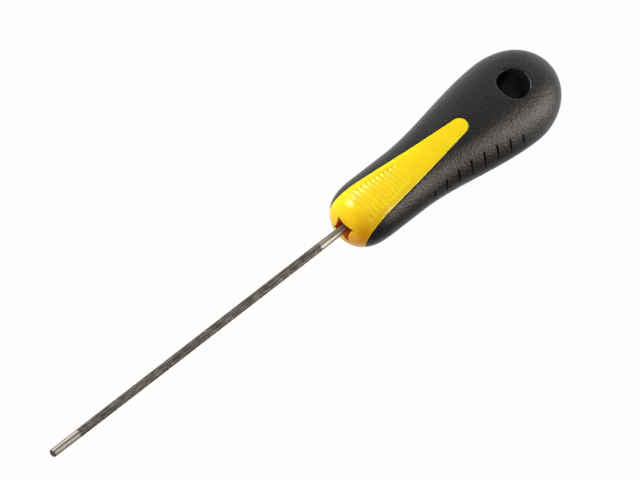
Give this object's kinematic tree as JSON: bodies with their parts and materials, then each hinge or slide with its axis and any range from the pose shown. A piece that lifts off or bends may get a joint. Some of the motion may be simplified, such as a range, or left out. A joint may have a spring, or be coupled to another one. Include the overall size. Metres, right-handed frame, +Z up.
{
  "type": "chainsaw file with handle",
  "caption": "Slim round steel file with a tapered tang wedged into a bulbous yellow and black soft-grip handle with a ribbed tongue, grooves on one flank and a hang hole, for sharpening saw chain.",
  "frame": {"origin": "middle of the bounding box, on the file's axis, in front of the nose", "axes": "+X along the file towards its tip, +Z up out of the tongue and through the hang hole, +Y across the handle"},
  "size_m": [0.2578, 0.0354, 0.0314],
  "materials": {
    "file_steel": "dull toothed steel with brighter plain ends",
    "red_plastic": "smooth moulded plastic",
    "yellow_plastic": "satin moulded plastic",
    "black_rubber": "fine-grained soft moulding"
  },
  "bodies": {
    "handle": {"core": "yellow_plastic", "tang_socket": "red_plastic", "grip": "black_rubber"},
    "file": {"file": "file_steel"}
  },
  "joints": [
    {"name": "file_pull", "type": "slide", "parent": "handle", "child": "file", "axis": [1, 0, 0], "range_m": [0, 0.048]}
  ]
}
